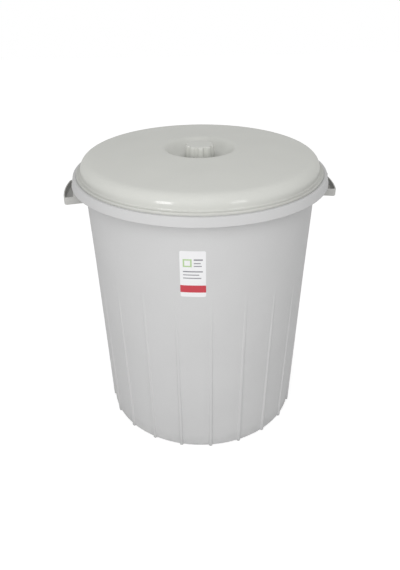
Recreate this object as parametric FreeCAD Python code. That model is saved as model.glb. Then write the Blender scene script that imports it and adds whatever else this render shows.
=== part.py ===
import FreeCAD, Part
import math
import os

from FreeCAD import Vector

# Driving dimensions, in millimetres and degrees.
# Heights are over the ground and radii are from the bin's axis.
# The front is -Y, and the hand-holds are on +X and -X.

# Tub wall and floor
tub_height = 527.0
base_radius = 201.0
mouth_radius = 220.6
wall_thickness = 2.6
floor_thickness = 3.0
foot_height = 1.4
base_rounding = 2.0
floor_rounding = 8.0

# Turned-over rim with its hanging skirt and the bead that stands round the lid's seat
rim_overhang = 19.4
rim_thickness = 2.6
skirt_drop = 16.4
skirt_flare = 4.0
skirt_rounding = 0.8
bead_height = 0.6
bead_width = 5.4
bead_outer_rounding = 1.2
bead_inner_rounding = 0.3
mouth_rounding = 1.0
under_rim_rounding = 1.5

# Upright ribs round the lower wall, each ending in a foot
rib_count = 21
rib_turn = 1.1
rib_start_drop = 97.0
rib_depth = 3.2
rib_root_width = 8.4
rib_crest_width = 3.8
rib_tip_width = 5.4
rib_tip_crest_width = 3.2
rib_tip_sink = 0.5

# Hand-holds: shallow trays at either side, hung from the rim by webs behind the skirt
handle_reach = 16.5
handle_drop = 32.5
handle_height = 14.5
handle_width = 101.0
handle_wall = 2.6
handle_corner = 5.0
handle_edge_rounding = 2.0

# Lid, whose flange lies on the rim inside the bead and sweeps up into the dome
lid_thickness = 2.6
flange_gap = 0.8
flange_thickness = 4.6
flange_rounding = 1.4
flange_foot_rounding = 0.5
dome_inset = 8.3
dome_rise = 6.4
dome_fillet = 3.0
shoulder_radius = 20.0
crown_slope = 7.5
plug_clearance = 2.2
plug_thickness = 2.4
plug_drop = 9.0

# Dish in the lid's middle, and the fluted knob that stands in it
dish_radius = 73.0
dish_lip_radius = 14.0
dish_depth = 24.4
dish_floor_width = 6.6
bowl_radius = 22.0
knob_base_radius = 28.5
knob_top_radius = 26.5
knob_height = 27.5
knob_wall = 5.6
knob_rounding = 4.0
flute_count = 10
flute_radius = 4.6
flute_depth = 3.4
flute_lift = 1.5
flute_overrun = 3.0

# Sticker on the front, in the panel between two ribs
label_drop = 69.5
label_height = 90.0
label_margin = 5.55
label_thickness = 0.25
label_corner = 3.0
adhesive = 0.05

# Worked-out sizes
rim_radius = mouth_radius + rim_overhang
skirt_radius = rim_radius + skirt_flare
seat_height = tub_height - bead_height
rim_underside = seat_height - rim_thickness
skirt_bottom = tub_height - skirt_drop
floor_top = foot_height + floor_thickness
bead_inner_radius = rim_radius - bead_width
rib_pitch = 360.0 / rib_count
rib_top = tub_height - rib_start_drop
handle_top = tub_height - handle_drop
handle_bottom = handle_top - handle_height
handle_radius = skirt_radius + handle_reach
handle_half_angle = math.degrees(math.asin(handle_width / 2 / handle_radius))
flange_radius = bead_inner_radius - flange_gap
flange_top = seat_height + flange_thickness
shoulder_height = flange_top + dome_rise
dome_radius = flange_radius - dome_inset
label_top = tub_height - label_drop
label_bottom = label_top - label_height
label_angle = rib_turn - rib_pitch / 2

AXIS = Vector(0, 0, 1)
ORIGIN = Vector(0, 0, 0)


def wall_radius(height):
    """Outer radius of the tapering wall at a height."""
    return base_radius + (mouth_radius - base_radius) * height / tub_height


def wall_inner_radius(height):
    """Inner radius of the tapering wall at a height."""
    return wall_radius(height) - wall_thickness


def wall_middle_radius(height):
    """Radius of the middle of the tapering wall at a height."""
    return wall_radius(height) - wall_thickness / 2


def skirt_middle_radius(height):
    """Radius of the middle of the hanging skirt at a height."""
    outer = rim_radius + skirt_flare * (tub_height - height) / skirt_drop
    return outer - rim_thickness / 2


def at(radius, height):
    """A point of a profile, in the half plane of +X."""
    return Vector(radius, 0, height)


def heading(angle):
    """Unit direction in a profile's plane, in degrees from outwards towards up."""
    return Vector(math.cos(math.radians(angle)), 0, math.sin(math.radians(angle)))


def straight(start, end):
    """A straight edge."""
    return Part.LineSegment(start, end).toShape()


def bow(centre, radius, start, end):
    """An arc of a profile about a centre, from one heading to another."""
    middle = (start + end) / 2
    points = [centre + heading(angle) * radius for angle in (start, middle, end)]
    return Part.Arc(*points).toShape()


def chain(corners):
    """Edges along an open run of corners, each a point with the rounding of that corner."""
    edges = []
    last = corners[0][0]
    for (before, _), (corner, rounding), (after, _) in zip(corners, corners[1:], corners[2:]):
        back = (before - corner).normalize()
        ahead = (after - corner).normalize()
        if rounding == 0:
            edges.append(straight(last, corner))
            last = corner
            continue
        half = back.getAngle(ahead) / 2
        inwards = (back + ahead).normalize()
        reach = rounding / math.tan(half)
        middle = corner + inwards * (rounding / math.sin(half) - rounding)
        edges.append(straight(last, corner + back * reach))
        edges.append(Part.Arc(corner + back * reach, middle, corner + ahead * reach).toShape())
        last = corner + ahead * reach
    edges.append(straight(last, corners[-1][0]))
    return edges


def spin(edges, angle=360):
    """Solid of revolution about the bin's axis from the edges of a closed profile."""
    return Part.Face(Part.Wire(edges)).revolve(ORIGIN, AXIS, angle)


def turned(shape, angle):
    """A copy turned about the bin's axis."""
    copy = shape.copy()
    copy.rotate(ORIGIN, AXIS, angle)
    return copy


def tub_shell():
    """Wall, floor and turned-over rim of the tub."""
    run = [
        (at(0, foot_height), 0),
        (at(wall_radius(foot_height), foot_height), base_rounding),
        (at(wall_radius(rim_underside), rim_underside), under_rim_rounding),
        (at(rim_radius - rim_thickness, rim_underside), 0),
        (at(skirt_radius - rim_thickness, skirt_bottom), skirt_rounding),
        (at(skirt_radius, skirt_bottom), skirt_rounding),
        (at(rim_radius, tub_height), bead_outer_rounding),
        (at(bead_inner_radius, tub_height), bead_inner_rounding),
        (at(bead_inner_radius, seat_height), 0),
        (at(wall_inner_radius(seat_height), seat_height), mouth_rounding),
        (at(wall_inner_radius(floor_top), floor_top), floor_rounding),
        (at(0, floor_top), 0),
    ]
    return spin(chain(run) + [straight(at(0, floor_top), at(0, foot_height))])


def rib_section(height, root, crest, root_width, crest_width):
    """Closed outline of a rib on the front, from its root inside the wall to its crest."""
    points = [
        Vector(-root_width / 2, -root, height),
        Vector(root_width / 2, -root, height),
        Vector(crest_width / 2, -crest, height),
        Vector(-crest_width / 2, -crest, height),
    ]
    return Part.makePolygon(points + points[:1])


def rib():
    """The front rib, which stands on the ground and sinks into the wall at its top."""
    foot_crest = wall_radius(0) + rib_depth
    tip_crest = wall_radius(rib_top) - rib_tip_sink
    foot = rib_section(0, wall_middle_radius(0), foot_crest, rib_root_width, rib_crest_width)
    tip = rib_section(rib_top, wall_middle_radius(rib_top), tip_crest, rib_tip_width, rib_tip_crest_width)
    return Part.makeLoft([foot, tip], True, True)


def sector(radius, bottom, top, half_angle):
    """A slice of a cylinder, centred on +X."""
    wedge = Part.makeCylinder(radius, top - bottom, at(0, bottom), AXIS, 2 * half_angle)
    return turned(wedge, -half_angle)


def upright_edges(shape, radius):
    """The upright edges of a slice at its outer radius."""
    found = []
    for edge in shape.Edges:
        start, end = (vertex.Point for vertex in edge.Vertexes[:1] + edge.Vertexes[-1:])
        stands = math.hypot(start.x - end.x, start.y - end.y) < 1e-6 < abs(start.z - end.z)
        if stands and abs(math.hypot(start.x, start.y) - radius) < 1e-6:
            found.append(edge)
    return found


def bottom_edges(shape, bottom):
    """The edges round the foot of a slice."""
    return [edge for edge in shape.Edges if edge.BoundBox.ZMax - bottom < 1e-6]


def handle_web():
    """A slice that fills the space behind the skirt, from the tray's bottom up into the rim."""
    rim_middle = rim_underside + rim_thickness / 2
    corners = [
        at(0, handle_bottom),
        at(skirt_middle_radius(skirt_bottom), handle_bottom),
        at(skirt_middle_radius(skirt_bottom), skirt_bottom),
        at(skirt_middle_radius(rim_middle), rim_middle),
        at(0, rim_middle),
        at(0, handle_bottom),
    ]
    edges = [straight(start, end) for start, end in zip(corners, corners[1:])]
    return turned(spin(edges, 2 * handle_half_angle), -handle_half_angle)


def handle():
    """The hand-hold on +X, a tray that is open at its top and closed by the wall at its back."""
    outside = sector(handle_radius, handle_bottom, handle_top, handle_half_angle)
    outside = outside.makeFillet(handle_corner, upright_edges(outside, handle_radius))
    outside = outside.makeFillet(handle_edge_rounding, bottom_edges(outside, handle_bottom))
    hollow_radius = handle_radius - handle_wall
    hollow_angle = handle_half_angle - math.degrees(handle_wall / mouth_radius)
    hollow = sector(hollow_radius, handle_bottom + handle_wall, tub_height, hollow_angle)
    hollow = hollow.makeFillet(handle_corner - handle_wall, upright_edges(hollow, hollow_radius))
    core = Part.makeCone(wall_middle_radius(0), wall_middle_radius(tub_height), tub_height)
    return outside.fuse(handle_web()).cut([hollow, core])


def tub():
    """The whole tub moulding."""
    ribs = [turned(rib(), rib_turn + index * rib_pitch) for index in range(rib_count)]
    handles = [turned(handle(), angle) for angle in (0, 180)]
    return tub_shell().fuse(ribs + handles)


def crown_top():
    """Height that the crown would reach on the axis."""
    slope = math.radians(crown_slope)
    run = dome_radius - shoulder_radius
    return shoulder_height - run / math.tan(slope) + run / math.sin(slope) + shoulder_radius


def dish_floor():
    """Height of the dish's floor round the knob."""
    return crown_top() - dish_depth


def dome_curve(depth):
    """Edges of the lid's surface from shoulder to dish floor, at a depth below its outer face."""
    shoulder_centre = at(dome_radius - shoulder_radius, shoulder_height)
    slope = math.radians(crown_slope)
    crown_centre = at(0, shoulder_height - shoulder_centre.x / math.tan(slope))
    crown_radius = shoulder_centre.x / math.sin(slope) + shoulder_radius
    lip_reach = crown_radius - dish_lip_radius
    lip_start = math.degrees(math.acos(dish_radius / lip_reach))
    lip_centre = crown_centre + heading(lip_start) * lip_reach
    bowl_centre = at(knob_base_radius + dish_floor_width, dish_floor() + bowl_radius)
    across = bowl_centre - lip_centre
    lean = math.degrees(math.acos((dish_lip_radius + bowl_radius) / across.Length))
    lip_end = math.degrees(math.atan2(across.z, across.x)) - lean
    lip_foot = lip_centre + heading(lip_end) * (dish_lip_radius - depth)
    bowl_head = bowl_centre - heading(lip_end) * (bowl_radius + depth)
    return [
        bow(shoulder_centre, shoulder_radius - depth, 0, 90 - crown_slope),
        bow(crown_centre, crown_radius - depth, 90 - crown_slope, lip_start),
        bow(lip_centre, dish_lip_radius - depth, lip_start, lip_end),
        straight(lip_foot, bowl_head),
        bow(bowl_centre, bowl_radius + depth, lip_end + 180, 270),
    ]


def inner_end(edge):
    """The end of an edge that is nearer to the axis."""
    return min((vertex.Point for vertex in edge.Vertexes), key=lambda point: point.x)


def lid_shell():
    """Flange, dome, dish and plain knob of the lid, as one shell of revolution."""
    floor = dish_floor()
    knob_top = floor + knob_height
    outer = dome_curve(0)
    inner = dome_curve(lid_thickness)
    flange = chain([
        (at(dome_radius - lid_thickness, shoulder_height), 0),
        (at(dome_radius - lid_thickness, seat_height), 0),
        (at(flange_radius, seat_height), flange_foot_rounding),
        (at(flange_radius, flange_top), flange_rounding),
        (at(dome_radius, flange_top), dome_fillet),
        (at(dome_radius, shoulder_height), 0),
    ])
    knob = chain([
        (inner_end(outer[-1]), 0),
        (at(knob_base_radius, floor), 0),
        (at(knob_top_radius, knob_top), knob_rounding),
        (at(0, knob_top), 0),
        (at(0, knob_top - knob_wall), 0),
        (at(knob_top_radius - knob_wall, knob_top - knob_wall), 0),
        (at(knob_base_radius - knob_wall, floor - lid_thickness), 0),
        (inner_end(inner[-1]), 0),
    ])
    return spin(flange + outer + knob + inner[::-1])


def plug_rib():
    """Locating rib under the lid, from inside the dome's skin down into the tub's mouth."""
    bottom = seat_height - plug_drop
    outer_radius = wall_inner_radius(bottom) - plug_clearance
    inner_radius = outer_radius - plug_thickness
    skin_middle = shoulder_radius - lid_thickness / 2
    run = (outer_radius + inner_radius) / 2 - (dome_radius - shoulder_radius)
    top = shoulder_height + math.sqrt(skin_middle**2 - run**2)
    ring = Part.makeCylinder(outer_radius, top - bottom, at(0, bottom))
    return ring.cut(Part.makeCylinder(inner_radius, top - bottom, at(0, bottom)))


def flute():
    """The groove cut into the knob between its ridges, on the front."""
    side = at(knob_top_radius - knob_base_radius, knob_height)
    length = side.Length + flute_overrun
    side.normalize()
    outwards = at(side.z, -side.x)
    foot = at(knob_base_radius, dish_floor())
    start = foot + side * flute_lift + outwards * (flute_radius - flute_depth)
    return turned(Part.makeCylinder(flute_radius, length, start, side), -90)


def lid():
    """The whole lid moulding."""
    pitch = 360.0 / flute_count
    flutes = [turned(flute(), (index + 0.5) * pitch) for index in range(flute_count)]
    return lid_shell().fuse(plug_rib()).cut(flutes)


def label():
    """The sticker, a thin patch that follows the wall's cone and clears the ribs beside it."""
    inside = base_radius + adhesive
    outside = inside + label_thickness
    taper = mouth_radius - base_radius
    skin = Part.makeCone(outside, outside + taper, tub_height)
    skin = skin.cut(Part.makeCone(inside, inside + taper, tub_height))
    panel_width = 2 * wall_radius(label_bottom) * math.sin(math.radians(rib_pitch / 2))
    half = (panel_width - rib_root_width) / 2 - label_margin
    sides = [
        (at(0, label_bottom), 0),
        (at(half, label_bottom), label_corner),
        (at(half, label_top), label_corner),
        (at(-half, label_top), label_corner),
        (at(-half, label_bottom), label_corner),
        (at(0, label_bottom), 0),
    ]
    window = Part.Face(Part.Wire(chain(sides))).extrude(Vector(0, -2 * mouth_radius, 0))
    return turned(skin.common(window), label_angle)


os.makedirs("parts", exist_ok=True)
for name, make in {"tub": tub, "lid": lid, "label": label}.items():
    shape = make()
    solid = shape.Solids[0]
    print(name, "valid", shape.isValid(), "solids", len(shape.Solids), "volume", round(solid.Volume))
    solid.exportStep(f"parts/{name}.step")
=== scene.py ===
import math
from functools import reduce

import bmesh
import bpy
from bpy.props import FloatProperty, FloatVectorProperty, IntProperty, PointerProperty
from mathutils import Matrix, Vector


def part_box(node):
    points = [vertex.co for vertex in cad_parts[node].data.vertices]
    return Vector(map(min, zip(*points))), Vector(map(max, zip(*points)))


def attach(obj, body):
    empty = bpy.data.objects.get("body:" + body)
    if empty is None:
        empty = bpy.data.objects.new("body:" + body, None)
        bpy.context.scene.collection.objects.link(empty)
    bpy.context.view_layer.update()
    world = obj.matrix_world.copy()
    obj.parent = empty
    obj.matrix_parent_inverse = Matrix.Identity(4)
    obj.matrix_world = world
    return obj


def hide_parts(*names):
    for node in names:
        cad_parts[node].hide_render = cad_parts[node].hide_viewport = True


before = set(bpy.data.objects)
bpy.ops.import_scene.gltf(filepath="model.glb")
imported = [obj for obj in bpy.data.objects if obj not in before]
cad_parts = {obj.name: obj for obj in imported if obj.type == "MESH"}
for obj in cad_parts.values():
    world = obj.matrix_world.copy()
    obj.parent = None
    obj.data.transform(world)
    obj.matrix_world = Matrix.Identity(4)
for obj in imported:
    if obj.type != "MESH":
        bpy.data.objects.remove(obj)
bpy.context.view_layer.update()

bl_info = {
    "name": "Lidded Bin",
    "version": (1, 0, 0),
    "blender": (4, 5, 0),
    "location": "3D View > Sidebar > Bin",
    "description": "Builds a ribbed plastic bin with a lift-off lid around its solid parts",
    "category": "Add Mesh",
}

TUB_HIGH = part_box("tub")[1]
LID_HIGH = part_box("lid")[1]
LABEL_LOW, LABEL_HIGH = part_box("label")

# The picture that the lens is worked out for, in pixels
IMAGE_LONG_SIDE = 570
FOCAL_PIXELS = 577.07
SENSOR_WIDTH = 36.0


def length(name, default, description):
    """A size in metres."""
    return FloatProperty(
        name=name, description=description, default=default, min=0, precision=5, unit="LENGTH"
    )


def angle(name, degrees, description):
    """An angle, given in degrees."""
    return FloatProperty(
        name=name, description=description, default=math.radians(degrees), unit="ROTATION"
    )


def share(name, default, description):
    """A plain number from 0 to 1."""
    return FloatProperty(
        name=name, description=description, default=default, min=0, max=1, subtype="FACTOR"
    )


def ring_count(name, default, description):
    """A number of like features round an axis."""
    return IntProperty(name=name, description=description, default=default, min=3, subtype="UNSIGNED")


def power(name, default, description):
    """A lamp's power in watts."""
    return FloatProperty(name=name, description=description, default=default, min=0, unit="POWER")


def colour(name, default, description):
    """A linear colour."""
    return FloatVectorProperty(
        name=name, description=description, default=default, size=3, min=0, max=1, subtype="COLOR"
    )


class TubSizes(bpy.types.PropertyGroup):
    """Sizes of the ribbed tub and its turned-over rim."""

    height: length("Height", TUB_HIGH.z, "Ground to the top of the rim's bead")
    base_radius: length("Base Radius", 0.201, "Outer radius of the wall at the ground")
    mouth_radius: length("Mouth Radius", 0.2206, "Outer radius of the wall at the rim")
    wall: length("Wall", 0.0026, "Thickness of the wall")
    floor: length("Floor", 0.003, "Thickness of the floor")
    foot_height: length("Foot Height", 0.0014, "Height of the floor's underside over the ground")
    base_rounding: length("Base Rounding", 0.002, "Rounding of the wall's lower edge")
    floor_rounding: length("Floor Rounding", 0.008, "Rounding between the wall and the floor inside")
    rim_overhang: length("Rim Overhang", 0.0194, "How far the rim stands out from the wall")
    rim_thickness: length("Rim Thickness", 0.0026, "Thickness of the rim and its skirt")
    rim_corner: length("Rim Corner", 0.0009, "Small roundings of the rim's inner corners")
    skirt_drop: length("Skirt Drop", 0.0164, "Height of the skirt that hangs from the rim")
    skirt_flare: length("Skirt Flare", 0.004, "How far the skirt leans out at its foot")
    skirt_rounding: length("Skirt Rounding", 0.0008, "Rounding of the skirt's lower edges")
    bead_height: length("Bead Height", 0.0006, "Height of the bead round the lid's seat")
    bead_width: length("Bead Width", 0.0054, "Width of the bead round the lid's seat")
    bead_rounding: length("Bead Rounding", 0.0012, "Rounding of the bead's outer edge")
    bead_inner_rounding: length("Bead Inner Rounding", 0.0003, "Rounding of the bead's inner edge")
    mouth_rounding: length("Mouth Rounding", 0.001, "Rounding of the mouth's inner edge")
    under_rim_rounding: length("Under-Rim Rounding", 0.0015, "Rounding between the wall and the rim")
    rib_count: ring_count("Rib Count", 21, "Upright ribs round the wall")
    rib_turn: angle("Rib Turn", 1.1, "Turn of the front rib towards +X")
    rib_start_drop: length("Rib Start Drop", 0.097, "Depth below the rim where the ribs' taper starts")
    rib_depth: length("Rib Depth", 0.0032, "How far a rib stands out at the ground")
    rib_sink: length("Rib Sink", 0.0005, "How far a rib's crest lies inside the wall at its top")
    rib_width: length("Rib Width", 0.0084, "Width of a rib at the ground")
    rib_tip_width: length("Rib Tip Width", 0.0054, "Width of a rib at its top")
    rib_crest: share("Rib Crest", 0.45, "Share of a rib's width that its flat crest takes")


class HandleSizes(bpy.types.PropertyGroup):
    """Sizes of the two hand-hold trays under the rim."""

    radius: length("Radius", TUB_HIGH.x, "Radius of the tray's outer face")
    drop: length("Drop", 0.0325, "Depth of the tray's top below the rim")
    height: length("Height", 0.0145, "Height of the tray")
    width: length("Width", 0.101, "Width of the tray across its ends")
    wall: length("Wall", 0.0026, "Thickness of the tray's walls and floor")
    corner: length("Corner", 0.005, "Rounding of the tray's upright corners")
    foot_rounding: length("Foot Rounding", 0.002, "Rounding round the tray's underside")
    top_rounding: length("Top Rounding", 0.001, "Rounding of the tray's top edges")
    floor_rounding: length("Floor Rounding", 0.001, "Rounding between the tray's walls and floor")
    web_radius: length("Web Radius", 0.2415, "Radius where the end walls step up behind the skirt")
    web_step: length("Web Step", 0.002, "Width of the rounded step of the end walls")


class LidSizes(bpy.types.PropertyGroup):
    """Sizes of the domed lid, its dish and its knob."""

    flange_radius: length("Flange Radius", LID_HIGH.x, "Radius of the flat flange")
    flange_thickness: length("Flange Thickness", 0.0046, "Thickness of the flange")
    flange_rounding: length("Flange Rounding", 0.0014, "Rounding of the flange's upper edge")
    flange_foot_rounding: length("Flange Foot Rounding", 0.0005, "Rounding of the flange's lower edges")
    wall: length("Wall", 0.0026, "Thickness of the dome")
    dome_inset: length("Dome Inset", 0.0083, "Width of the flange outside the dome")
    dome_rise: length("Dome Rise", 0.0064, "Height of the dome's upright foot over the flange")
    dome_fillet: length("Dome Fillet", 0.003, "Rounding between the dome and the flange")
    shoulder_radius: length("Shoulder Radius", 0.02, "Radius of the dome's round shoulder")
    crown_slope: angle("Crown Slope", 7.5, "Slope of the crown where it meets the shoulder")
    plug_drop: length("Plug Drop", 0.009, "How far the locating rib reaches below the seat")
    plug_clearance: length("Plug Clearance", 0.0022, "Gap between the locating rib and the wall")
    plug_thickness: length("Plug Thickness", 0.0024, "Thickness of the locating rib")
    dish_radius: length("Dish Radius", 0.073, "Radius of the dish's lip")
    dish_lip: length("Dish Lip", 0.014, "Rounding of the dish's lip")
    dish_floor_width: length("Dish Floor Width", 0.0066, "Flat floor of the dish round the knob")
    bowl_radius: length("Bowl Radius", 0.022, "Rounding of the dish's bowl")
    knob_base: length("Knob Base", 0.0285, "Radius of the knob at its foot")
    knob_top: length("Knob Top", 0.0265, "Radius of the knob at its top")
    knob_height: length("Knob Height", 0.0275, "Height of the knob over the dish's floor")
    knob_wall: length("Knob Wall", 0.0056, "Thickness of the knob")
    knob_rounding: length("Knob Rounding", 0.004, "Rounding of the knob's top edge")
    knob_fillet: length("Knob Fillet", 0.0015, "Rounding between the knob and the dish's floor")
    flute_count: ring_count("Flute Count", 10, "Grooves round the knob")
    flute_radius: length("Flute Radius", 0.0046, "Radius of a groove")
    flute_depth: length("Flute Depth", 0.0034, "Depth of a groove")
    flute_lift: length("Flute Lift", 0.0015, "Height over the dish's floor where the grooves start")


class LabelSizes(bpy.types.PropertyGroup):
    """Sizes of the sticker on the front."""

    top: length("Top", LABEL_HIGH.z, "Height of the sticker's upper edge")
    bottom: length("Bottom", LABEL_LOW.z, "Height of the sticker's lower edge")
    margin: length("Margin", 0.00555, "Gap between the sticker and the ribs beside it")
    thickness: length("Thickness", 0.00025, "Thickness of the film")
    adhesive: length("Adhesive", 0.00005, "Thickness of the adhesive")
    corner: length("Corner", 0.003, "Rounding of the sticker's corners")


class TubFinish(bpy.types.PropertyGroup):
    """Satin plastic of the tub."""

    tint: colour("Tint", (0.60, 0.60, 0.60), "Light grey of the tub")
    # The hand-holds' tint is the tub's grey, darkened as painted shade for the shade they sit in under
    # the rim
    handle_shaded_tint: colour("Hand-Hold Shaded Tint", (0.52, 0.518, 0.5), "Duller grey of the hand-holds")
    roughness: share("Roughness", 0.6, "Roughness of the plastic")
    gloss: share("Gloss", 0.04, "Strength of the smooth gloss over the plastic")
    gloss_roughness: share("Gloss Roughness", 0.45, "Roughness of the gloss")
    grain: length("Grain", 0.00025, "Depth of the surface grain")
    # Painted shade: how much darker the rim is painted
    rim_shade: share("Rim Shade", 0.05, "How much darker the shaded rim is")


class LidFinish(bpy.types.PropertyGroup):
    """Semi-gloss plastic of the lid."""

    tint: colour("Tint", (0.594, 0.599, 0.566), "Light grey of the lid")
    roughness: share("Roughness", 0.5, "Roughness of the plastic")
    gloss: share("Gloss", 0.14, "Strength of the smooth gloss over the plastic")
    gloss_roughness: share("Gloss Roughness", 0.12, "Roughness of the gloss")
    grain: length("Grain", 0.00012, "Depth of the surface grain")
    # Painted shadow of the knob and painted shade round its foot
    dish_shade: share("Dish Shade", 0.2, "How much darker the dish is round the knob's foot")
    # Painted shade in the crease round the dome's foot, at the front and at the sides
    front_crease_shade: share("Front Crease Shade", 0.04, "How much darker the dome's foot is at the front")
    side_crease_shade: share("Side Crease Shade", 0.17, "How much darker the dome's foot is beside the hand-holds")


class Print(bpy.types.PropertyGroup):
    """Colours of the sticker."""

    film_colour: colour("Film Colour", (0.81, 0.81, 0.82), "White of the sticker")
    band_colour: colour("Band Colour", (0.52, 0.04, 0.06), "Red band of the sticker")
    frame_colour: colour("Frame Colour", (0.42, 0.58, 0.30), "Green frame of the sticker")
    line_colour: colour("Line Colour", (0.22, 0.22, 0.24), "Grey lines of the sticker")


class StageSettings(bpy.types.PropertyGroup):
    """Floor, light and camera."""

    floor_half: length("Floor Half", 5.0, "Half the floor's side")
    floor_colour: colour("Floor Colour", (0.6, 0.6, 0.6), "Pale floor")
    floor_glow: share("Floor Glow", 0.6, "What the floor adds where it is looked at")
    ambient: share("Ambient", 0.68, "Strength of the light from all round")
    lamp_distance: length("Lamp Distance", 1.4, "Lid to each side softbox")
    lamp_width: length("Lamp Width", 0.32, "Width of each side softbox")
    lamp_height: length("Lamp Height", 0.48, "Height of each side softbox")
    lamp_elevation: angle("Lamp Elevation", 9.0, "Height of the side softboxes over the rim")
    left_lamp_heading: angle("Left Lamp Heading", -33.4, "Direction of the left softbox from the front")
    right_lamp_heading: angle("Right Lamp Heading", 28.3, "Direction of the right softbox from the front")
    left_lamp: power("Left Lamp", 3.7, "Power of the left softbox")
    right_lamp: power("Right Lamp", 1.55, "Power of the right softbox")
    fill_distance: length("Fill Distance", 1.7, "Lid to the front fill")
    fill_side: length("Fill Side", 0.9, "Side of the square front fill")
    fill_heading: angle("Fill Heading", -4.0, "Direction of the front fill from the front")
    fill_elevation: angle("Fill Elevation", 34.0, "Height of the front fill over the rim")
    fill_lamp: power("Fill Lamp", 6.4, "Power of the front fill")
    camera_distance: length("Camera Distance", 1.0723, "Level distance from the bin's axis to the camera")
    camera_height: length("Camera Height", 0.8835, "Height of the camera over the ground")
    camera_heading: angle("Camera Heading", -4.0, "Where the camera stands, from the front")
    camera_yaw: angle("Camera Yaw", 0.085, "Turn of the camera away from the bin's axis")
    camera_pitch: angle("Camera Pitch", 29.847, "How far the camera looks down")
    camera_roll: angle("Camera Roll", -0.48, "Turn of the camera about its own view")


class BinSettings(bpy.types.PropertyGroup):
    """All settings of the bin."""

    tub: PointerProperty(name="Tub", description="Sizes of the tub", type=TubSizes)
    handles: PointerProperty(name="Hand-Holds", description="Sizes of the hand-holds", type=HandleSizes)
    lid: PointerProperty(name="Lid", description="Sizes of the lid", type=LidSizes)
    label: PointerProperty(name="Sticker", description="Sizes of the sticker", type=LabelSizes)
    tub_finish: PointerProperty(name="Tub Finish", description="Plastic of the tub", type=TubFinish)
    lid_finish: PointerProperty(name="Lid Finish", description="Plastic of the lid", type=LidFinish)
    print: PointerProperty(name="Print", description="Colours of the sticker", type=Print)
    stage: PointerProperty(name="Stage", description="Floor, light and camera", type=StageSettings)


# Shared shapes

ARC_STEP = math.radians(11.25)
SHARP_ANGLE = math.radians(38)
MERGE_DISTANCE = 1e-7


def smooth_step(low, high, value):
    """Rises from 0 at low to 1 at high."""
    part = min(max((value - low) / (high - low), 0), 1)
    return part * part * (3 - 2 * part)


def blend(start, end, part):
    """Straight mix of two numbers."""
    return start + (end - start) * part


def around(radius, turn, height):
    """A point round the bin's axis, with turns from the front towards +X."""
    return Vector((radius * math.sin(turn), -radius * math.cos(turn), height))


def bow(centre, radius, start, end):
    """Points of a profile's arc, from one direction to another in degrees."""
    steps = max(2, math.ceil(abs(math.radians(end - start)) / ARC_STEP))
    turns = [math.radians(blend(start, end, step / steps)) for step in range(steps + 1)]
    return [(centre[0] + radius * math.cos(turn), centre[1] + radius * math.sin(turn)) for turn in turns]


def rounded_run(corners):
    """Points along an open profile of (radius, height, rounding) corners."""
    points = [corners[0][:2]]
    for before, corner, after in zip(corners, corners[1:], corners[2:]):
        here = Vector(corner[:2])
        if corner[2] == 0:
            points.append(tuple(here))
            continue
        back = (Vector(before[:2]) - here).normalized()
        ahead = (Vector(after[:2]) - here).normalized()
        half = back.angle(ahead) / 2
        reach = corner[2] / math.tan(half)
        centre = here + (back + ahead).normalized() * (corner[2] / math.sin(half))
        start = here + back * reach - centre
        sweep = math.pi - 2 * half
        turning = 1 if back.cross(ahead) < 0 else -1
        steps = max(2, math.ceil(sweep / ARC_STEP))
        for step in range(steps + 1):
            turned = Matrix.Rotation(turning * sweep * step / steps, 2) @ start
            points.append(tuple(centre + turned))
    points.append(corners[-1][:2])
    return points


def split_long(points, longest):
    """The same run of points, with long straight stretches divided evenly."""
    found = [points[0]]
    for start, end in zip(points, points[1:]):
        count = max(1, math.ceil(math.dist(start, end) / longest))
        found += [tuple(Vector(start).lerp(Vector(end), step / count)) for step in range(1, count + 1)]
    return found


def skin(rings):
    """Points and faces of a surface over closed rings, where a ring of one point is a pole."""
    points, faces, rows = [], [], []
    for ring in rings:
        rows.append(range(len(points), len(points) + len(ring)))
        points += ring
    for lower, upper in zip(rows, rows[1:]):
        count = max(len(lower), len(upper))
        for here in range(count):
            ahead = (here + 1) % count
            near = [lower[here % len(lower)], lower[ahead % len(lower)]]
            far = [upper[ahead % len(upper)], upper[here % len(upper)]]
            faces.append(list(dict.fromkeys(near + far)))
    return points, faces


def make_piece(name, points, faces, material, body):
    """A smooth mesh object that moves with a body."""
    mesh = bpy.data.meshes.new(name)
    mesh.from_pydata(points, [], faces)
    shape = bmesh.new()
    shape.from_mesh(mesh)
    bmesh.ops.remove_doubles(shape, verts=shape.verts, dist=MERGE_DISTANCE)
    bmesh.ops.recalc_face_normals(shape, faces=shape.faces)
    shape.to_mesh(mesh)
    shape.free()
    mesh.shade_smooth()
    mesh.set_sharp_from_angle(angle=SHARP_ANGLE)
    mesh.materials.append(material)
    made = bpy.data.objects.new(name, mesh)
    bpy.context.scene.collection.objects.link(made)
    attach(made, body)
    return made


# Tub

# Places across a rib are shares of its half width, and the mesh is refined out to the reach
RIB_REACH = 1.2
FLANK_STEPS = 5
PANEL_STEPS = 10
FOOT_BLEND = 0.02
WALL_ROW = 0.009
INSIDE_ROW = 3 * WALL_ROW
UNDERSIDE_PARTS = (0.3, 0.6, 0.85, 0.96, 0.995)

# Direction in degrees where the rounding of the lower edge starts, close to straight down
EDGE_START = -80


def wall_radius(tub, height):
    """Outer radius of the tapering wall at a height."""
    return blend(tub.base_radius, tub.mouth_radius, height / tub.height)


def rib_half_width(tub, height):
    """Half of a rib's width at a height."""
    part = min(height / (tub.height - tub.rib_start_drop), 1)
    return blend(tub.rib_width, tub.rib_tip_width, part) / 2


def rib_standing(tub, height):
    """How far a rib's crest stands out of the wall at a height."""
    part = height / (tub.height - tub.rib_start_drop)
    return max(0, blend(tub.rib_depth, -tub.rib_sink, part))


def rib_places(tub):
    """Places across a rib, closer together on its flanks."""
    side = [blend(tub.rib_crest, 1, step / FLANK_STEPS) for step in range(FLANK_STEPS + 1)]
    side.append(RIB_REACH)
    return [-place for place in reversed(side)] + [0] + side


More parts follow.
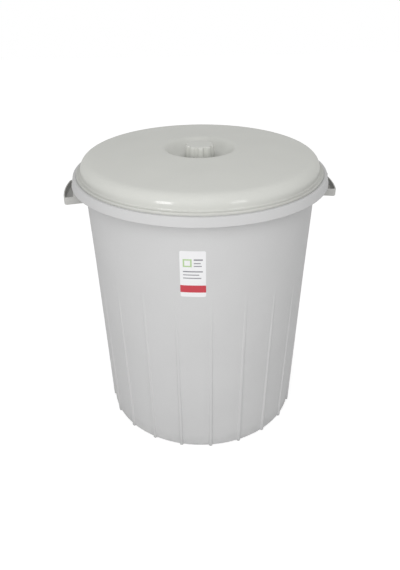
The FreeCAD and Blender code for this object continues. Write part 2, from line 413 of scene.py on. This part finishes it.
def rib_columns(tub):
    """Columns round the wall: a rib's turn, a place across it or on the panel after it, and its rise."""
    pitch = 2 * math.pi / tub.rib_count
    columns = []
    for index in range(tub.rib_count):
        turn = tub.rib_turn + index * pitch
        for across in rib_places(tub):
            rise = 1 - smooth_step(tub.rib_crest, 1, abs(across))
            columns.append((turn, across, None, rise))
        for step in range(1, PANEL_STEPS):
            columns.append((turn, None, step / PANEL_STEPS, 0))
    return columns


def column_turn(tub, column, height):
    """The turn of a column at a height, so that columns follow the ribs' taper."""
    base, across, part, _ = column
    half = rib_half_width(tub, height) / wall_radius(tub, height)
    if across is not None:
        return base + across * half
    pitch = 2 * math.pi / tub.rib_count
    return base + blend(RIB_REACH * half, pitch - RIB_REACH * half, part)


def tub_ring(tub, columns, radius, height, standing=0, foot=0):
    """A ring of the tub, with the ribs' columns moved out and down."""
    ring = []
    for column in columns:
        rise = column[3]
        turn = column_turn(tub, column, height)
        ring.append(around(radius + standing * rise, turn, height - foot * rise))
    return ring


def tub_inside(tub):
    """Profile of the rim, the inner wall and the inner floor, from under the rim inwards."""
    rim = tub.mouth_radius + tub.rim_overhang
    skirt = rim + tub.skirt_flare
    seat = tub.height - tub.bead_height
    underside = seat - tub.rim_thickness
    skirt_foot = tub.height - tub.skirt_drop
    bead_inside = rim - tub.bead_width
    floor = tub.foot_height + tub.floor
    wall_start = underside - 2 * tub.under_rim_rounding
    run = rounded_run([
        (wall_radius(tub, wall_start), wall_start, 0),
        (wall_radius(tub, underside), underside, tub.under_rim_rounding),
        (rim - tub.rim_thickness, underside, tub.rim_corner),
        (skirt - tub.rim_thickness, skirt_foot, tub.skirt_rounding),
        (skirt, skirt_foot, tub.skirt_rounding),
        (rim, tub.height, tub.bead_rounding),
        (bead_inside, tub.height, tub.bead_inner_rounding),
        (bead_inside, seat, tub.bead_inner_rounding / 2),
        (wall_radius(tub, seat) - tub.wall, seat, tub.mouth_rounding),
        (wall_radius(tub, floor) - tub.wall, floor, tub.floor_rounding),
        (0, floor, 0),
    ])
    return split_long(run, INSIDE_ROW)


def tub_rings(tub):
    """All rings of the tub, from the middle of its underside to the middle of its floor."""
    columns = rib_columns(tub)
    low = tub.foot_height
    edge = wall_radius(tub, low) - tub.base_rounding
    rings = [[Vector((0, 0, low))]]
    for part in UNDERSIDE_PARTS:
        rings.append(tub_ring(tub, columns, part * edge, low))
    rings.append(tub_ring(tub, columns, edge, low, 0, tub.foot_height))
    profile = tub_inside(tub)
    corner = bow((edge, low + tub.base_rounding), tub.base_rounding, EDGE_START, 0)
    rise = profile[0][1] - corner[-1][1]
    rows = round(rise / WALL_ROW)
    heights = [corner[-1][1] + rise * row / rows for row in range(1, rows)]
    outside = corner + [(wall_radius(tub, height), height) for height in heights]
    for radius, height in outside:
        foot = tub.foot_height * (1 - smooth_step(low, low + FOOT_BLEND, height))
        rings.append(tub_ring(tub, columns, radius, height, rib_standing(tub, height), foot))
    rings += [tub_ring(tub, columns, radius, height) for radius, height in profile[:-1]]
    rings.append([Vector((0, 0, profile[-1][1]))])
    return rings


# Hand-holds

# Shares along an end wall's stretches: behind the skirt, up the step and out to the corner
WEB_STATIONS = (0, 0.2, 0.4, 0.6, 0.8, 0.95)
STEP_STATIONS = (0, 0.25, 0.5, 0.75, 1)
END_STATIONS = (0.4, 0.8)
CORNER_STEPS = 8
HALF_BAND_STEPS = 15
BACK_STEPS = 10
MIRROR = Vector((1, -1))


def plan_direction(turn):
    """Direction in plan, with turns from +X towards +Y."""
    return Vector((math.cos(turn), math.sin(turn)))


def tray_path(handles, root):
    """Plan of the tray's outer face on +X: points with their outward normals, from wall to wall."""
    half = math.asin(handles.width / 2 / handles.radius)
    corner_reach = handles.radius - handles.corner
    lean = math.asin(handles.corner / corner_reach)
    end_turn = -half - math.pi / 2
    end_normal = plan_direction(end_turn)
    line_end = corner_reach * math.cos(lean)
    step_end = handles.web_radius + handles.web_step
    radii = [blend(root, handles.web_radius, part) for part in WEB_STATIONS]
    radii += [blend(handles.web_radius, step_end, part) for part in STEP_STATIONS]
    radii += [blend(step_end, line_end, part) for part in END_STATIONS]
    path = [(plan_direction(-half) * radius, end_normal) for radius in radii]
    band_start = lean - half
    centre = plan_direction(band_start) * corner_reach
    for step in range(CORNER_STEPS + 1):
        normal = plan_direction(blend(end_turn, band_start, step / CORNER_STEPS))
        path.append((centre + normal * handles.corner, normal))
    for step in range(1, HALF_BAND_STEPS + 1):
        normal = plan_direction(blend(band_start, 0, step / HALF_BAND_STEPS))
        path.append((normal * handles.radius, normal))
    return path + [(point * MIRROR, normal * MIRROR) for point, normal in path[-2::-1]]


def tray_section(handles, bottom, top):
    """Section of the tray's wall as (depth behind its outer face, height), from underside to floor."""
    foot, edge, fillet = handles.foot_rounding, handles.top_rounding, handles.floor_rounding
    inner, floor = handles.wall, bottom + handles.wall
    return rounded_run([
        (2 * foot, bottom, 0),
        (0, bottom, foot),
        (0, top, edge),
        (inner, top, edge),
        (inner, floor, fillet),
        (inner + 2 * fillet, floor, 0),
    ])


def tray_mesh(tub, handles):
    """Points and faces of the tray on +X."""
    top = tub.height - handles.drop
    bottom = top - handles.height
    web_top = tub.height - tub.bead_height - tub.rim_thickness / 2
    root = wall_radius(tub, bottom) - tub.wall / 2
    path = tray_path(handles, root)
    points, faces, rows = [], [], []
    for point, normal in path:
        radius = point.length
        part = smooth_step(handles.web_radius, handles.web_radius + handles.web_step, radius)
        section = tray_section(handles, bottom, blend(web_top, top, part))
        rows.append(range(len(points), len(points) + len(section)))
        for depth, height in section:
            points.append(Vector((*(point - normal * depth), height)))
    for here, ahead in zip(rows, rows[1:]):
        for index in range(len(here) - 1):
            faces.append([here[index], ahead[index], ahead[index + 1], here[index + 1]])
    back = []
    ends = [points[rows[end][side]] for side in (0, -1) for end in (0, -1)]
    for first, last in (ends[:2], ends[2:]):
        turns = [math.atan2(end.y, end.x) for end in (first, last)]
        reach = first.xy.length
        back.append(range(len(points), len(points) + BACK_STEPS - 1))
        for step in range(1, BACK_STEPS):
            place = plan_direction(blend(*turns, step / BACK_STEPS)) * reach
            points.append(Vector((*place, first.z)))
    under = [rows[0][0], *back[0], rows[-1][0]]
    over = [rows[0][-1], *back[1], rows[-1][-1]]
    for here in range(BACK_STEPS):
        faces.append([under[here], under[here + 1], over[here + 1], over[here]])
    faces.append(list(rows[0]))
    faces.append(list(rows[-1]))
    faces.append([row[0] for row in rows] + under[-2:0:-1])
    faces.append([row[-1] for row in rows] + over[-2:0:-1])
    return points, faces


# Lid

FLUTE_COLUMNS = 24
LID_ROW = 0.009


def dome_centres(tub, lid):
    """Centres and radii of the dome's arcs, and the directions where they meet, in degrees."""
    flange_top = tub.height - tub.bead_height + lid.flange_thickness
    shoulder_height = flange_top + lid.dome_rise
    run = lid.flange_radius - lid.dome_inset - lid.shoulder_radius
    crown = (0, shoulder_height - run / math.tan(lid.crown_slope))
    crown_radius = run / math.sin(lid.crown_slope) + lid.shoulder_radius
    lip_reach = crown_radius - lid.dish_lip
    lip_start = math.acos(lid.dish_radius / lip_reach)
    lip = Vector((lip_reach * math.cos(lip_start), crown[1] + lip_reach * math.sin(lip_start)))
    floor = LID_HIGH.z - lid.knob_height
    bowl = Vector((lid.knob_base + lid.dish_floor_width, floor + lid.bowl_radius))
    across = bowl - lip
    lean = math.acos((lid.dish_lip + lid.bowl_radius) / across.length)
    lip_end = math.atan2(across.y, across.x) - lean
    return {
        "flange_top": flange_top,
        "floor": floor,
        "shoulder": (run, shoulder_height),
        "crown": crown,
        "crown_radius": crown_radius,
        "lip": tuple(lip),
        "lip_start": math.degrees(lip_start),
        "lip_end": math.degrees(lip_end),
        "bowl": tuple(bowl),
    }


def dome_run(lid, arcs, depth):
    """Profile of the dome from its shoulder to the dish's floor, at a depth below its outer face."""
    crest = 90 - math.degrees(lid.crown_slope)
    run = bow(arcs["shoulder"], lid.shoulder_radius - depth, 0, crest)
    crown = bow(arcs["crown"], arcs["crown_radius"] - depth, crest, arcs["lip_start"])
    lip = bow(arcs["lip"], lid.dish_lip - depth, arcs["lip_start"], arcs["lip_end"])
    bowl = bow(arcs["bowl"], lid.bowl_radius + depth, arcs["lip_end"] + 180, 270)
    return run + crown[1:] + lip[1:] + bowl


def knob_groove(lid, turn, radius):
    """Depth of the groove at a turn round the knob, measured from the knob's plain side."""
    pitch = 2 * math.pi / lid.flute_count
    across = radius * abs((turn / pitch) % 1 - 0.5) * pitch
    if across >= lid.flute_radius:
        return 0
    return max(0, math.sqrt(lid.flute_radius**2 - across**2) - lid.flute_radius + lid.flute_depth)


def lid_ring(lid, radius, height, floor):
    """A ring of the lid, with the knob's grooves pressed in where it lies on the knob."""
    ring = []
    count = lid.flute_count * FLUTE_COLUMNS
    side = blend(lid.knob_base, lid.knob_top, (height - floor) / lid.knob_height)
    on_knob = radius <= lid.knob_base and height > floor
    start = smooth_step(lid.flute_lift, 2 * lid.flute_lift, height - floor)
    for index in range(count):
        turn = 2 * math.pi * index / count
        groove = knob_groove(lid, turn, side) * start - (side - radius) if on_knob else 0
        ring.append(around(radius - max(0, groove), turn, height))
    return ring


def lid_rings(tub, lid):
    """All rings of the lid, from under the knob out to the flange and back over the dome to the knob."""
    arcs = dome_centres(tub, lid)
    floor, flange_top = arcs["floor"], arcs["flange_top"]
    seat = tub.height - tub.bead_height
    dome = lid.flange_radius - lid.dome_inset
    ceiling = floor + lid.knob_height - lid.knob_wall
    plug_bottom = seat - lid.plug_drop
    plug_outer = wall_radius(tub, plug_bottom) - tub.wall - lid.plug_clearance
    plug_inner = plug_outer - lid.plug_thickness
    plug_rounding = lid.plug_thickness / 3
    under = dome_run(lid, arcs, lid.wall)[::-1]
    inside = [point for point in under if point[0] < plug_inner - lid.wall / 2]
    outside = [point for point in under if point[0] > plug_outer + lid.wall / 2]
    skin_height = inside[-1][1] - lid.wall / 2
    hollow = rounded_run([
        (0, ceiling, 0),
        (lid.knob_top - lid.knob_wall, ceiling, lid.knob_fillet),
        (lid.knob_base - lid.knob_wall, floor - lid.wall, lid.knob_fillet),
        (inside[0][0], inside[0][1], 0),
    ])
    plug = rounded_run([
        (plug_inner, skin_height, 0),
        (plug_inner, plug_bottom, plug_rounding),
        (plug_outer, plug_bottom, plug_rounding),
        (plug_outer, outside[0][1], 0),
    ])
    shoulder_height = arcs["shoulder"][1]
    flange = rounded_run([
        (dome - lid.wall, shoulder_height, 0),
        (dome - lid.wall, seat, lid.flange_foot_rounding),
        (lid.flange_radius, seat, lid.flange_foot_rounding),
        (lid.flange_radius, flange_top, lid.flange_rounding),
        (dome, flange_top, lid.dome_fillet),
        (dome, shoulder_height, 0),
    ])
    over = dome_run(lid, arcs, 0)[1:]
    knob = rounded_run([
        (over[-1][0], floor, 0),
        (lid.knob_base, floor, lid.knob_fillet),
        (lid.knob_top, floor + lid.knob_height, lid.knob_rounding),
        (0, floor + lid.knob_height, 0),
    ])
    run = hollow[:-1] + inside + plug + outside + flange[1:] + over + knob[1:]
    run = split_long(run, LID_ROW)
    rings = [[Vector((0, 0, run[0][1]))]]
    rings += [lid_ring(lid, radius, height, floor) for radius, height in run[1:-1]]
    rings.append([Vector((0, 0, run[-1][1]))])
    return rings


# Sticker

LABEL_COLUMNS = 24
LABEL_ROWS = 40


def label_grid(tub, label):
    """Half width of the sticker and its rows of (across, height) places, rounded at the corners."""
    pitch = 2 * math.pi / tub.rib_count
    panel = 2 * wall_radius(tub, label.bottom) * math.sin(pitch / 2)
    half = (panel - tub.rib_width) / 2 - label.margin
    columns = []
    for index in range(LABEL_COLUMNS + 1):
        across = half * math.sin(math.pi * (index / LABEL_COLUMNS - 0.5))
        past = max(0, abs(across) - (half - label.corner))
        cut = label.corner - math.sqrt(max(0, label.corner**2 - past**2))
        columns.append((across, label.bottom + cut, label.top - cut))
    rows = []
    for row in range(LABEL_ROWS + 1):
        rows.append([(across, blend(low, high, row / LABEL_ROWS)) for across, low, high in columns])
    return half, rows


def label_mesh(tub, label):
    """Points, faces and flat places of the sticker, a thin slab that follows the wall."""
    middle = tub.rib_turn - math.pi / tub.rib_count
    half, rows = label_grid(tub, label)
    points, flat = [], []
    for depth in (label.adhesive + label.thickness, label.adhesive):
        for row in rows:
            for across, height in row:
                radius = wall_radius(tub, height) + depth
                points.append(around(radius, middle + math.asin(across / radius), height))
                part = (height - label.bottom) / (label.top - label.bottom)
                flat.append((across / half / 2 + 0.5, part))
    wide = LABEL_COLUMNS + 1
    back = wide * (LABEL_ROWS + 1)
    faces = []
    for row in range(LABEL_ROWS):
        for column in range(LABEL_COLUMNS):
            corner = row * wide + column
            face = [corner, corner + 1, corner + wide + 1, corner + wide]
            faces.append(face)
            faces.append([index + back for index in face[::-1]])
    rim = list(range(wide))
    rim += [row * wide + LABEL_COLUMNS for row in range(1, LABEL_ROWS + 1)]
    rim += [LABEL_ROWS * wide + column for column in range(LABEL_COLUMNS - 1, -1, -1)]
    rim += [row * wide for row in range(LABEL_ROWS - 1, 0, -1)]
    for here, ahead in zip(rim, rim[1:] + rim[:1]):
        faces.append([ahead, here, here + back, ahead + back])
    return points, faces, flat


# Finishes

# Between these values lies most of a noise
NOISE_MIDDLE = (0.3, 0.7)

# Noise scales per metre, and what the noise makes of the plastic's tone and roughness
CLOUD_SCALE = 9.0
CLOUD_TONE = (0.985, 1.015)
SPECK_SCALE = 520.0
SPECK_TONE = (0.99, 1.01)
RUBBED_SCALE = 35.0
RUBBED_ROUGHNESS = 0.03
RIPPLE_SCALE = 60.0
GRAIN_SCALE = 1500.0
GRAIN_SHARE = 0.4
BUMP_STRENGTH = 0.1

# Dust from the ground up to its top, where it lies thick and thin
DIRT_TOP = 0.03
DIRT_SCALE = 60.0
DIRT_PATCHES = (0.35, 0.65)
DIRT_THIN = 0.2
DIRT_TONE = 0.86
DIRT_ROUGHNESS = 0.2

BODY_GLOSS = 0.02
GLOSS_IOR = 3.0

# Heights, distances and widths over which painted shade sets in, in metres
RIM_SHADE = (0.503, 0.510)
DISH_SHADE_CENTRE = (0.004, 0, 0.5)
DISH_SHADE = (0.058, 0.068)
CREASE_SHADE = (0.533, 0.543)
SIDE_SHADE_MIDDLE = -0.03
SIDE_SHADE = (0.09, 0.18)

# The sticker's print, as left, right, low and high shares of its sides
FRAME_OUTSIDE = (0.12, 0.46, 0.66, 0.83)
FRAME_INSIDE = (0.18, 0.40, 0.69, 0.80)
BAND = (0.0, 1.0, 0.1, 0.26)
PRINTED_LINES = (
    (0.54, 0.88, 0.80, 0.83),
    (0.54, 0.80, 0.73, 0.75),
    (0.54, 0.84, 0.67, 0.69),
    (0.12, 0.88, 0.55, 0.575),
    (0.12, 0.74, 0.48, 0.5),
    (0.12, 0.82, 0.41, 0.43),
)
FILM_SCALE = 90.0
FILM_ROUGHNESS = (0.3, 0.42)
FILM_GRAIN_SCALE = 160.0
FILM_GRAIN = 0.0002


def add_node(tree, kind, inputs=None, **settings):
    """A shader node with its settings, and its inputs set or linked."""
    made = tree.nodes.new("ShaderNode" + kind)
    for name, value in settings.items():
        setattr(made, name, value)
    for name, value in (inputs or {}).items():
        if isinstance(value, bpy.types.NodeSocket):
            tree.links.new(value, made.inputs[name])
        else:
            made.inputs[name].default_value = value
    return made


def calculate(tree, operation, *values):
    """Output of a math node over numbers or sockets."""
    return add_node(tree, "Math", dict(enumerate(values)), operation=operation).outputs[0]


def combine(tree, operation, values):
    """Output of a chain of math nodes over several sockets."""
    return reduce(lambda found, value: calculate(tree, operation, found, value), values)


def spread(tree, value, low, high, new_low, new_high):
    """Output of a map range node, clamped."""
    inputs = {"Value": value, "From Min": low, "From Max": high, "To Min": new_low, "To Max": new_high}
    return add_node(tree, "MapRange", inputs).outputs["Result"]


def noise(tree, place, scale, detail=2.0):
    """Output of a noise texture in the object's own metres."""
    return add_node(tree, "TexNoise", {"Vector": place, "Scale": scale, "Detail": detail}).outputs[0]


def varied(tree, place, scale, detail, low, high):
    """Noise that runs from one value to another."""
    return spread(tree, noise(tree, place, scale, detail), *NOISE_MIDDLE, low, high)


def new_material(name):
    """A material with its node tree and its main shader."""
    material = bpy.data.materials.new(name)
    material.use_nodes = True
    return material, material.node_tree, material.node_tree.nodes["Principled BSDF"]


def raised(tree, height, depth):
    """Normal of a surface raised by a height."""
    inputs = {"Height": height, "Strength": BUMP_STRENGTH, "Distance": depth}
    return add_node(tree, "Bump", inputs).outputs[0]


def tub_painted_shade(tree, place, finish):
    """1 where no shade is painted, and less on the rim, where painted shade darkens it."""
    height = add_node(tree, "SeparateXYZ", {0: place}).outputs["Z"]
    return spread(tree, height, *RIM_SHADE, 1.0, 1 - finish.rim_shade)


def lid_painted_shade(tree, place, finish):
    """1 where no shade is painted, and less where painted shade lies round the knob's foot and in the
    crease round the dome.
    """
    # Painted shadow of the knob on the dish, centred a little towards +X
    away = add_node(tree, "VectorMath", {0: place, 1: DISH_SHADE_CENTRE}, operation="DISTANCE")
    dish = spread(tree, away.outputs["Value"], *DISH_SHADE, 1 - finish.dish_shade, 1.0)
    # Painted shade in the crease round the dome's foot, deeper at the sides
    parts = add_node(tree, "SeparateXYZ", {0: place}).outputs
    aside = calculate(tree, "ABSOLUTE", calculate(tree, "SUBTRACT", parts["X"], SIDE_SHADE_MIDDLE))
    crease = spread(tree, aside, *SIDE_SHADE, 1 - finish.front_crease_shade, 1 - finish.side_crease_shade)
    crease = spread(tree, parts["Z"], *CREASE_SHADE, crease, 1.0)
    return calculate(tree, "MULTIPLY", dish, crease)


def moulded_plastic(name, tint, moulding, painted_darkening):
    """Moulded plastic with a fine grain, a cloudy tone, a thin gloss, dust close to the ground and
    painted shade.
    """
    material, tree, shader = new_material(name)
    place = add_node(tree, "TexCoord").outputs["Object"]
    height = add_node(tree, "SeparateXYZ", {0: place}).outputs["Z"]
    low = spread(tree, height, 0.0, DIRT_TOP, 1.0, 0.0)
    dusty = spread(tree, noise(tree, place, DIRT_SCALE, 5.0), *DIRT_PATCHES, DIRT_THIN, 1.0)
    dirt = calculate(tree, "MULTIPLY", low, dusty)
    tone = combine(tree, "MULTIPLY", [
        varied(tree, place, CLOUD_SCALE, 3.0, *CLOUD_TONE),
        varied(tree, place, SPECK_SCALE, 2.0, *SPECK_TONE),
        # Painted shade on the rim, on the dish round the knob or in the dome's crease
        painted_darkening(tree, place, moulding),
        spread(tree, dirt, 0.0, 1.0, 1.0, DIRT_TONE),
    ])
    tinted = add_node(tree, "VectorMath", {0: tint, "Scale": tone}, operation="SCALE").outputs[0]
    tree.links.new(tinted, shader.inputs["Base Color"])
    smoothest = moulding.roughness - RUBBED_ROUGHNESS
    roughest = moulding.roughness + RUBBED_ROUGHNESS
    rubbed = varied(tree, place, RUBBED_SCALE, 4.0, smoothest, roughest)
    rough = calculate(tree, "MULTIPLY_ADD", dirt, DIRT_ROUGHNESS, rubbed)
    tree.links.new(rough, shader.inputs["Roughness"])
    ripple = noise(tree, place, RIPPLE_SCALE)
    grain = calculate(tree, "MULTIPLY_ADD", noise(tree, place, GRAIN_SCALE, 3.0), GRAIN_SHARE, ripple)
    bump = raised(tree, grain, moulding.grain)
    tree.links.new(bump, shader.inputs["Normal"])
    tree.links.new(bump, shader.inputs["Coat Normal"])
    shader.inputs["Specular IOR Level"].default_value = BODY_GLOSS
    shader.inputs["Coat Weight"].default_value = moulding.gloss
    shader.inputs["Coat Roughness"].default_value = moulding.gloss_roughness
    shader.inputs["Coat IOR"].default_value = GLOSS_IOR
    return material


def patch(tree, across, up, left, right, low, high):
    """1 inside a rectangle of the sticker, and 0 outside."""
    return combine(tree, "MULTIPLY", [
        calculate(tree, "GREATER_THAN", across, left),
        calculate(tree, "LESS_THAN", across, right),
        calculate(tree, "GREATER_THAN", up, low),
        calculate(tree, "LESS_THAN", up, high),
    ])


def printed_film(name, finish):
    """White film with a plain printed design of a band, a frame and lines."""
    material, tree, shader = new_material(name)
    flat = add_node(tree, "UVMap", uv_map="flat").outputs[0]
    parts = add_node(tree, "SeparateXYZ", {0: flat})
    across, up = parts.outputs["X"], parts.outputs["Y"]
    frame_sides = [patch(tree, across, up, *place) for place in (FRAME_OUTSIDE, FRAME_INSIDE)]
    lines = [patch(tree, across, up, *place) for place in PRINTED_LINES]
    painted = (*finish.film_colour, 1)
    masks = [
        (calculate(tree, "SUBTRACT", *frame_sides), finish.frame_colour),
        (combine(tree, "MAXIMUM", lines), finish.line_colour),
        (patch(tree, across, up, *BAND), finish.band_colour),
    ]
    for mask, ink in masks:
        mixed = add_node(tree, "Mix", {0: mask, 6: painted, 7: (*ink, 1)}, data_type="RGBA")
        painted = mixed.outputs[2]
    tree.links.new(painted, shader.inputs["Base Color"])
    place = add_node(tree, "TexCoord").outputs["Object"]
    rough = varied(tree, place, FILM_SCALE, 3.0, *FILM_ROUGHNESS)
    tree.links.new(rough, shader.inputs["Roughness"])
    bump = raised(tree, noise(tree, place, FILM_GRAIN_SCALE), FILM_GRAIN)
    tree.links.new(bump, shader.inputs["Normal"])
    return material


# Stage

WHITE = (1, 1, 1, 1)
FLOOR_ROUGHNESS = 0.9


def stage_glow(tree):
    """1 where a surface is looked at, mirrored or seen through, and 0 where it only lights others."""
    path = add_node(tree, "LightPath").outputs
    return combine(tree, "MAXIMUM", [
        path["Is Camera Ray"],
        path["Is Glossy Ray"],
        path["Is Transmission Ray"],
    ])


def floor_material(stage):
    """Pale floor that looks white where it is lit and keeps the bin's shadow."""
    material, tree, shader = new_material("studio_floor")
    shader.inputs["Base Color"].default_value = (*stage.floor_colour, 1)
    shader.inputs["Roughness"].default_value = FLOOR_ROUGHNESS
    shader.inputs["Emission Color"].default_value = WHITE
    glow = calculate(tree, "MULTIPLY", stage_glow(tree), stage.floor_glow)
    tree.links.new(glow, shader.inputs["Emission Strength"])
    return material


def light_world(stage):
    """Even light from all round, which looks white."""
    world = bpy.data.worlds.new("studio")
    world.use_nodes = True
    tree = world.node_tree
    strength = spread(tree, stage_glow(tree), 0.0, 1.0, stage.ambient, 1.0)
    tree.nodes["Background"].inputs["Color"].default_value = WHITE
    tree.links.new(strength, tree.nodes["Background"].inputs["Strength"])
    bpy.context.scene.world = world


def add_softbox(name, size, distance, heading, elevation, watts):
    """A softbox of some width and height that looks at the lid."""
    lamp = bpy.data.lights.new(name, "AREA")
    lamp.shape = "RECTANGLE"
    lamp.size, lamp.size_y = size
    lamp.energy = watts
    made = bpy.data.objects.new(name, lamp)
    bpy.context.scene.collection.objects.link(made)
    target = Vector((0, 0, TUB_HIGH.z))
    rise = distance * math.sin(elevation)
    made.location = target + around(distance * math.cos(elevation), heading, rise)
    made.rotation_euler = (target - made.location).to_track_quat("-Z", "Y").to_euler()
    return made


def add_lamps(stage):
    """Two side softboxes that show as highlights, and a broad front fill that doesn't."""
    lamps = (
        ("softbox_left", stage.left_lamp_heading, stage.left_lamp),
        ("softbox_right", stage.right_lamp_heading, stage.right_lamp),
    )
    size = (stage.lamp_width, stage.lamp_height)
    for name, heading, watts in lamps:
        add_softbox(name, size, stage.lamp_distance, heading, stage.lamp_elevation, watts)
    size = (stage.fill_side, stage.fill_side)
    place = (stage.fill_distance, stage.fill_heading, stage.fill_elevation)
    fill = add_softbox("fill_front", size, *place, stage.fill_lamp)
    fill.visible_glossy = False


def add_camera(stage):
    """The camera, at the picture's viewing angle."""
    data = bpy.data.cameras.new("camera")
    data.sensor_width = SENSOR_WIDTH
    data.lens = SENSOR_WIDTH * FOCAL_PIXELS / IMAGE_LONG_SIDE
    made = bpy.data.objects.new("camera", data)
    bpy.context.scene.collection.objects.link(made)
    aim = Matrix.Rotation(stage.camera_heading + stage.camera_yaw, 4, "Z")
    aim @= Matrix.Rotation(math.pi / 2 - stage.camera_pitch, 4, "X")
    aim @= Matrix.Rotation(stage.camera_roll, 4, "Z")
    place = around(stage.camera_distance, stage.camera_heading, stage.camera_height)
    made.matrix_world = Matrix.Translation(place) @ aim
    bpy.context.scene.camera = made


# Operators and panel

class BIN_OT_tub(bpy.types.Operator):
    """Build the ribbed tub with its rim"""

    bl_idname = "lidded_bin.tub"
    bl_label = "Make Tub"

    def execute(self, context):
        settings = context.scene.lidded_bin
        plastic = moulded_plastic("tub_plastic", settings.tub_finish.tint, settings.tub_finish, tub_painted_shade)
        points, faces = skin(tub_rings(settings.tub))
        made = make_piece("tub_moulding", points, faces, plastic, "tub")
        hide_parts("tub")
        return {"FINISHED"}


class BIN_OT_handles(bpy.types.Operator):
    """Build the two hand-hold trays under the rim"""

    bl_idname = "lidded_bin.handles"
    bl_label = "Make Hand-Holds"

    def execute(self, context):
        settings = context.scene.lidded_bin
        finish = settings.tub_finish
        # The hand-holds get a darker copy of the tub's plastic: painted shade
        plastic = moulded_plastic("handle_plastic_painted_shade", finish.handle_shaded_tint, finish, tub_painted_shade)
        points, faces = tray_mesh(settings.tub, settings.handles)
        for name, turn in (("handle_right", 0), ("handle_left", math.pi)):
            turned = [Matrix.Rotation(turn, 3, "Z") @ point for point in points]
            make_piece(name, turned, faces, plastic, "tub")
        return {"FINISHED"}


class BIN_OT_lid(bpy.types.Operator):
    """Build the domed lid with its dish and fluted knob"""

    bl_idname = "lidded_bin.lid"
    bl_label = "Make Lid"

    def execute(self, context):
        settings = context.scene.lidded_bin
        plastic = moulded_plastic("lid_plastic", settings.lid_finish.tint, settings.lid_finish, lid_painted_shade)
        points, faces = skin(lid_rings(settings.tub, settings.lid))
        made = make_piece("lid_moulding", points, faces, plastic, "lid")
        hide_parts("lid")
        return {"FINISHED"}


class BIN_OT_label(bpy.types.Operator):
    """Build the printed sticker on the front"""

    bl_idname = "lidded_bin.label"
    bl_label = "Make Sticker"

    def execute(self, context):
        settings = context.scene.lidded_bin
        film = printed_film("label_film", settings.print)
        points, faces, flat = label_mesh(settings.tub, settings.label)
        made = make_piece("sticker", points, faces, film, "tub")
        layer = made.data.uv_layers.new(name="flat")
        for loop in made.data.loops:
            layer.data[loop.index].uv = flat[loop.vertex_index]
        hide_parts("label")
        return {"FINISHED"}


class BIN_OT_stage(bpy.types.Operator):
    """Set up the floor, the light and the camera"""

    bl_idname = "lidded_bin.stage"
    bl_label = "Make Stage"

    def execute(self, context):
        stage = context.scene.lidded_bin.stage
        half = stage.floor_half
        mesh = bpy.data.meshes.new("studio_floor")
        corners = [(-half, -half, 0), (half, -half, 0), (half, half, 0), (-half, half, 0)]
        mesh.from_pydata(corners, [], [(0, 1, 2, 3)])
        mesh.materials.append(floor_material(stage))
        floor = bpy.data.objects.new("studio_floor", mesh)
        context.scene.collection.objects.link(floor)
        light_world(stage)
        add_lamps(stage)
        add_camera(stage)
        context.scene.view_settings.view_transform = "Standard"
        return {"FINISHED"}


class BIN_PT_sidebar(bpy.types.Panel):
    """The bin's settings and steps"""

    bl_idname = "BIN_PT_sidebar"
    bl_label = "Lidded Bin"
    bl_space_type = "VIEW_3D"
    bl_region_type = "UI"
    bl_category = "Bin"

    def draw(self, context):
        settings = context.scene.lidded_bin
        for names, operator in STEPS:
            box = self.layout.box()
            for name in names:
                group = getattr(settings, name)
                for key in type(group).__annotations__:
                    box.prop(group, key)
            box.operator(operator.bl_idname)


STEPS = (
    (("tub", "tub_finish"), BIN_OT_tub),
    (("handles",), BIN_OT_handles),
    (("lid", "lid_finish"), BIN_OT_lid),
    (("label", "print"), BIN_OT_label),
    (("stage",), BIN_OT_stage),
)
SIZES = (TubSizes, HandleSizes, LidSizes, LabelSizes)
GROUPS = SIZES + (TubFinish, LidFinish, Print, StageSettings, BinSettings)
CLASSES = GROUPS + tuple(operator for _, operator in STEPS) + (BIN_PT_sidebar,)


def register():
    """Adds the settings, steps and panel to Blender."""
    for made in CLASSES:
        bpy.utils.register_class(made)
    bpy.types.Scene.lidded_bin = PointerProperty(type=BinSettings)


def unregister():
    """Takes them out again."""
    del bpy.types.Scene.lidded_bin
    for made in reversed(CLASSES):
        bpy.utils.unregister_class(made)


def main():
    """Builds the whole bin and its stage."""
    register()
    bpy.ops.lidded_bin.tub()
    bpy.ops.lidded_bin.handles()
    bpy.ops.lidded_bin.lid()
    bpy.ops.lidded_bin.label()
    bpy.ops.lidded_bin.stage()


if __name__ == "__main__":
    main()
